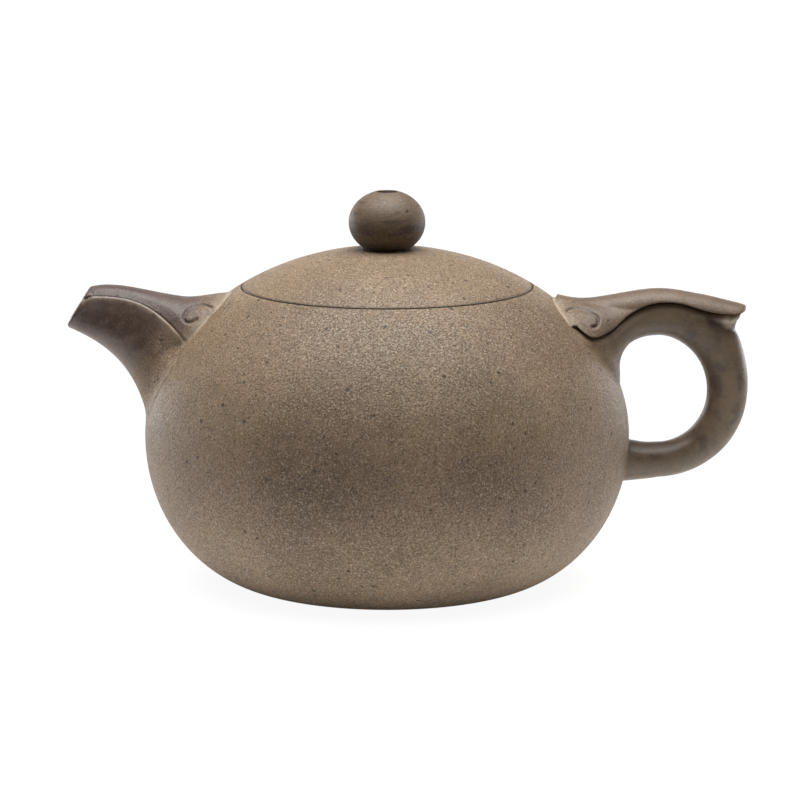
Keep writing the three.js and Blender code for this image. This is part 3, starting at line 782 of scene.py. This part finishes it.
def along_handle(t):
    """The place and direction at a share of the handle's length."""
    wanted = t * handle_runs[-1]
    last = len(handle_runs) - 2
    k = next((i for i in range(last) if handle_runs[i + 1] >= wanted), last)
    share = (wanted - handle_runs[k]) / (handle_runs[k + 1] - handle_runs[k])
    before, after = handle_line[max(k - 1, 0)], handle_line[min(k + 2, len(handle_line) - 1)]
    return handle_line[k].lerp(handle_line[k + 1], share), (after - before).normalized()


def handle_stations(end, count, grow=0):
    """The handle's sections from its upper root to a share of its length."""
    stations = []
    for i in range(count + 1):
        t = end * i / count
        place, run = along_handle(t)
        up = Vector((-run.y, run.x))
        rise, drop = graded(handle_rise, t), graded(handle_drop, t)
        middle = place + up * (rise - drop) / 2
        stations.append((middle, up, (rise + drop) / 2 + grow, graded(handle_width, t) / 2 + grow))
    return stations


handle_edge_points = [
    (body_radius - 12, arm_top - 6), (body_radius - 8.5, arm_top - 8.4), (body_radius - 4.5, arm_top - 7.4),
    (body_radius, arm_top - 4.2), (body_radius + 4.5, arm_top - 2.3), (body_radius + 10, arm_top - 2.2),
    (body_radius + 17, arm_top - 4.1), (wing_tip.x - 2.5, wing_tip.y - 0.8), (wing_tip.x + 1, wing_tip.y)]
handle_edge = [flowing(handle_edge_points, i / 80) for i in range(81)]
bend_root = ring_point(22)
bend_line = [bend_root, (bend_root.x - 3.6, wing_tip.y - 4.8), (wing_tip.x - 4.9, wing_tip.y - 0.8)]
bend_tall, bend_wide, bend_wide_end = 4.18, 4.32, 3.26
bend_stations = [
    (bezier(bend_line, i / 12), Vector((1, 0)), bend_tall, bend_wide + (bend_wide_end - bend_wide) * i / 12)
    for i in range(13)]
handle_shape = worked(
    lofted(handle_stations(1, 150), 72),
    [("UNION", lofted(bend_stations, 64)), ("DIFFERENCE", pot_core())],
    grain=0.3, passes=10)
handle_shape.normal_update()
for vert in handle_shape.verts:
    above, _ = over_line(handle_edge, vert.co)
    side = smooth_step(abs(vert.normal.y), 0.15, 0.6)
    vert.co += vert.normal * side * (0.4 * swell(above, -1.1, 0.7) - 0.3 * swell(above, 0, 0.35))


def handle_fillet(point):
    """The fillet's radius: widest under the trumpet, next to nothing at the lower root."""
    return 0.35 + (1.2 + 1.5 * smooth_step(point.z, 58, 50)) * smooth_step(point.z, 42, 46)


filleted(handle_shape, handle_fillet)


def shade_under_band(vert):
    """Painted shade in the groove between the ring and the band."""
    above, along = over_line(handle_edge, vert.co)
    return 0.15 * (swell(above, -0.05, 0.3) * smooth_step(along, 0.03, 0.1))


def wing_slip(vert):
    """The pale smear of slip that fixes the wing."""
    away = (vert.co - Vector((wing_joint.x, vert.co.y, wing_joint.y))).length
    return 0.9 * (1 - smooth_step(away, 0.9, 2.6))


def ring_streaks_and_dark_reflection(vert):
    """A darker strip along the inner side of the ring: dark streaks, and a painted dark reflection."""
    out = hypot((vert.co.x - ring_x) / ring_wide, (vert.co.z - finger_level) / ring_tall)
    return 0.55 * swell(out, 0.8, 0.1)


handle_clay = stoneware("handle_clay", burnished=(0.228, 0.161, 0.102), sheen=0.46,
                        brushed=(0.5, 1, 0.5), streaks=0.6)
finished("handle_ring", handle_shape, handle_clay, "pot", "handle_loop", {
    "burnish": lambda vert: blend_out(vert, 0.5, 6) if vert.co.z > 42 else blend_out(vert, 0, 0.6),
    "wiped": lambda vert: 0.7,
    "line": shade_under_band,
    "slip": wing_slip,
    "smear_and_shade": ring_streaks_and_dark_reflection,
})


# Ruyi band of the handle: a slab luted on as the spout's is. It runs on along the top of the ring as
# a crowned bar and ends in a wing past the bend.
band_top = [(shoulder_radius + 1, arm_top - 1.25), (body_radius - 9, arm_top - 2.05),
            (body_radius + 5, arm_top), (body_radius + 14, arm_top - 1),
            (wing_tip.x - 3, wing_tip.y + 1), (wing_tip.x - 0.1, wing_tip.y + 0.2)]
bar_tall = [(0, 3.95), (0.6, 3.95), (0.88, 2.37), (1, 0.47)]
bar_wide = [(0, 5.1), (0.6, 5.1), (0.88, 4.28), (1, 0.8)]
bar_extra = 0.15
bar_stations = []
for i in range(61):
    top = flowing(band_top, i / 60)
    tall, wide = graded(bar_tall, i / 60), graded(bar_wide, i / 60)
    bar_stations.append((Vector((top.x, top.y - tall + bar_extra)), Vector((0, 1)), tall + bar_extra, wide))


def slab(outline, half_depth):
    """A flat outline in the XZ plane, given thickness right through the pot."""
    bm = bmesh.new()
    face = bm.faces.new([bm.verts.new((point[0], -half_depth, point[1])) for point in outline])
    pushed = bmesh.ops.extrude_face_region(bm, geom=[face])["geom"]
    far_side = [part for part in pushed if isinstance(part, bmesh.types.BMVert)]
    bmesh.ops.translate(bm, vec=(0, 2 * half_depth, 0), verts=far_side)
    bmesh.ops.recalc_face_normals(bm, faces=bm.faces)
    return bm


over_edge = slab(handle_edge + [(wing_tip.x + 1, arm_top + 12), (mouth_radius, arm_top + 12),
                                (mouth_radius, arm_top - 6)], 40)
handle_band_shape = worked(
    lofted(handle_stations(0.27, 60, band_thick), 96),
    [("UNION", lofted(bar_stations, 64)), ("INTERSECT", over_edge), ("DIFFERENCE", pot_core())],
    grain=0.19, passes=6)
handle_curl = curl_marks([(38.2, 59.8), (39.2, 60.1), (40.8, 60.1), (42.3, 59.8), (43.6, 59.3),
                          (44.7, 58.6), (44.8, 57.6), (44.4, 56.9), (43.6, 56.8)])
handle_band_clay = stoneware("handle_band_clay", burnished=(0.184, 0.12, 0.075), sheen=0.56, streaks=0.3)
luted_band("handle_ruyi", handle_band_shape, handle_band_clay, "handle_ruyi_band", handle_curl)


# Hole from the body into the spout: cut through the wall with the spout's own bore. With it the wall
# is whole, and it carries painted shade: a darker patch on the front of the belly.
cloud_x, cloud_z = -15, 29
cloud_wide, cloud_tall = 12, 6


# Painted shade: a darker patch on the front of the belly.
def belly_front_shade(vert):
    across, up = (vert.co.x - cloud_x) / cloud_wide, (vert.co.z - cloud_z) / cloud_tall
    return 0.45 * exp(-across ** 2 - up ** 2) if vert.co.y < 0 else 0


body_shape = worked(body_shape, [("DIFFERENCE", spout_bore)])
finished("body_wall", body_shape, body_clay, "pot", "body_shell", {"smear_and_shade": belly_front_shade})


# Base slab: a disc of the body's clay let into the foot of the wall and sealed with slip. Its
# underside is scraped a little hollow, so that the pot stands on the rim.
slab_top = 3.1
base_profile = [(0, 0.25), (12, 0.2), (20, 0.08), (slab_edge - 2, 0), (slab_edge - seam, 0),
                (slab_edge - seam, slab_top), (0, slab_top)]
base_shape = eased(thrown(base_profile, 192, closed=False), 0.15)
finished("base_slab", base_shape, body_clay, "pot", "base_disc")


# Ring inside the mouth that the lid rests on: a strip of the body's clay luted under the edge of the
# wall, level on top and cut back at its lower inner corner.
ledge_level = skin_point(upper_line, skin_at_radius(body_mouth, -wall), -wall).y - seam
ledge_tall = 2.4
ring_inner = mouth_radius - 4.2
ledge_foot = ledge_level - ledge_tall
ledge_profile = (
    [(ring_inner, ledge_level)]
    + skin_run(upper_line, skin_at_height(ledge_level, -wall), skin_at_height(ledge_foot, -wall), -wall, 4)
    + [(ring_inner + 0.8, ledge_foot), (ring_inner, ledge_level - 1.6)]
)
finished("mouth_ledge", eased(thrown(ledge_profile, 240), 0.2), body_clay, "pot", "mouth_ring")


# Lid: a thin dome of the same clay that carries on the line of the body, with an air hole at its top
# and a collar luted under it that keeps it in the mouth. It lies loose on the ring.
lid_radius = mouth_radius - seam / 2
lid_seat = ledge_level + seam
air_hole = 1.1
collar_play, collar_thick, collar_tall = 0.45, 2.4, 9
collar_outer = ring_inner - collar_play
collar_inner = collar_outer - collar_thick
collar_foot = lid_seat - collar_tall
rim_inner = collar_outer + 0.3
lid_clay = stoneware("lid_clay", (0.318, 0.21, 0.12), (0.236, 0.154, 0.086))


def from_axis(vert):
    return hypot(vert.co.x, vert.co.y)


lid_profile = (
    skin_run(upper_line, skin_at_radius(air_hole, 0), skin_at_radius(lid_radius, 0), 0, 44)
    + [(lid_radius, lid_seat), (rim_inner, lid_seat)]
    + skin_run(upper_line, skin_at_radius(rim_inner, -wall), skin_at_radius(air_hole, -wall), -wall, 20)
)
finished("lid_dome", eased(thrown(lid_profile, 240), 0.06), lid_clay, "lid", "lid_plate", {
    "wiped": lambda vert: 0.5 * smooth_step(from_axis(vert), 12, 7),
    # Pale slip smeared round the knob's foot, and painted light that lifts the knob's shadow there.
    "slip": lambda vert: 0.7 * smooth_step(from_axis(vert), 8.4, 6.2),
    "smear_and_shade": lambda vert: 0.3 * swell(from_axis(vert), 7, 0.7),
    # Painted shade in the gap round the lid's edge.
    "line": lambda vert: 0.6 * smooth_step(from_axis(vert), lid_radius - 0.2, lid_radius - 0.05),
})
collar_profile = (
    [(collar_inner, collar_foot + 0.6), (collar_inner + 0.6, collar_foot),
     (collar_outer - 0.6, collar_foot), (collar_outer, collar_foot + 0.6)]
    + skin_run(upper_line, skin_at_radius(collar_outer, -wall), skin_at_radius(collar_inner, -wall), -wall, 4)
)
finished("lid_collar", eased(thrown(collar_profile, 240), 0.2), lid_clay, "lid", "lid_flange")


# Knob: a bead of the same clay turned on the lid and burnished, pierced from top to bottom by the air
# hole, whose mouth is opened out with a steep side.
knob_radius = 8.2
knob_foot = 5.2
knob_top = dome_height + 12.35
knob_joint = 72.5
air_mouth = [(air_hole, 2.1), (1.7, 1.8), (1.95, 1.3), (2.05, 0.5), (2.2, 0.32)]
air_rim = 2.3
foot_level = skin_point(upper_line, skin_at_radius(knob_foot, seam), seam).y
foot_share = sqrt(1 - (knob_foot / knob_radius) ** 2)
knob_half = (knob_top - foot_level) / (1 + foot_share)
knob_middle = knob_top - knob_half
knob_start = -atan2(foot_share, knob_foot / knob_radius)
knob_profile = [(air_hole, foot_level - 1)] + [(radius, knob_top - depth) for radius, depth in air_mouth]
for i in range(40, 0, -1):
    angle = knob_start + (pi / 2 - knob_start) * i / 40
    if knob_radius * cos(angle) > air_rim:
        knob_profile.append((knob_radius * cos(angle), knob_middle + knob_half * sin(angle)))
knob_profile += [(knob_foot, foot_level), (knob_foot - 0.2, foot_level - 0.5)]
knob_shape = eased(thrown(knob_profile, 128), 0.1, angle=50)


def knob_line(vert):
    """The shade in the air hole's mouth and in the joint with the lid."""
    return max(smooth_step(from_axis(vert), 2.4, 2.15),
               0.5 * smooth_step(vert.co.z, knob_joint + 2, knob_joint))


knob_clay = stoneware("knob_clay", burnished=(0.18, 0.122, 0.072), sheen=0.6,
                      brushed=(0.35, 0.35, 2.2), streaks=0.8)
finished("knob_bead", knob_shape, knob_clay, "lid", "knob", {
    "burnish": lambda vert: smooth_step(vert.co.z, knob_joint, knob_joint + 1.5),
    "smear_and_shade": lambda vert: 0.6 * smooth_step(vert.co.z, knob_joint + 8, knob_joint + 2.5),
    "line": knob_line,
})


# Ball strainer: half a hollow ball of the body's clay, pierced with rings of small holes while damp
# and luted inside the wall over the hole into the spout.
strainer_level = 48
ball_outer, ball_inner = 9.4, 7.9
ball_sunk = 1.4
drill_radius, drill_length, drill_place = 0.9, 4, 8.6
wall_spot = skin_point(upper_line, skin_at_height(strainer_level, 0), -wall)
further_in = skin_point(upper_line, skin_at_height(strainer_level, 0), -2 * wall)
strainer_middle = Vector((-wall_spot.x, 0, wall_spot.y))
inward = (Vector((-further_in.x, 0, further_in.y)) - strainer_middle).normalized()
sideways = Vector((0, 1, 0))
upward = sideways.cross(inward)
strainer = bmesh.new()
bmesh.ops.create_uvsphere(strainer, u_segments=64, v_segments=32, radius=ball_outer)
hollow = bmesh.ops.create_uvsphere(strainer, u_segments=64, v_segments=32, radius=ball_inner)["verts"]
bmesh.ops.reverse_faces(strainer, faces=list({face for vert in hollow for face in vert.link_faces}))
bmesh.ops.translate(strainer, vec=strainer_middle, verts=strainer.verts)
bmesh.ops.bisect_plane(strainer, geom=strainer.verts[:] + strainer.edges[:] + strainer.faces[:],
                       plane_co=strainer_middle - inward * ball_sunk, plane_no=-inward, clear_outer=True)
bmesh.ops.bridge_loops(strainer, edges=[edge for edge in strainer.edges if edge.is_boundary])
drills = bmesh.new()
for tilt, count in [(0, 1), (25, 6), (47, 11), (69, 14)]:
    lean = radians(tilt)
    for k in range(count):
        turn = 2 * pi * k / count
        run = inward * cos(lean) + sideways * sin(lean) * sin(turn) + upward * sin(lean) * cos(turn)
        turned = run.to_track_quat("Z", "Y").to_matrix().to_4x4()
        turned.translation = strainer_middle + run * drill_place
        bmesh.ops.create_cone(drills, cap_ends=True, segments=14, radius1=drill_radius,
                              radius2=drill_radius, depth=drill_length, matrix=turned)
strainer = worked(strainer, [("DIFFERENCE", drills)], grain=0.25, passes=3)
finished("strainer_ball", strainer, body_clay, "pot", "strainer_dome", {
    "wiped": lambda vert: 0.6,
})
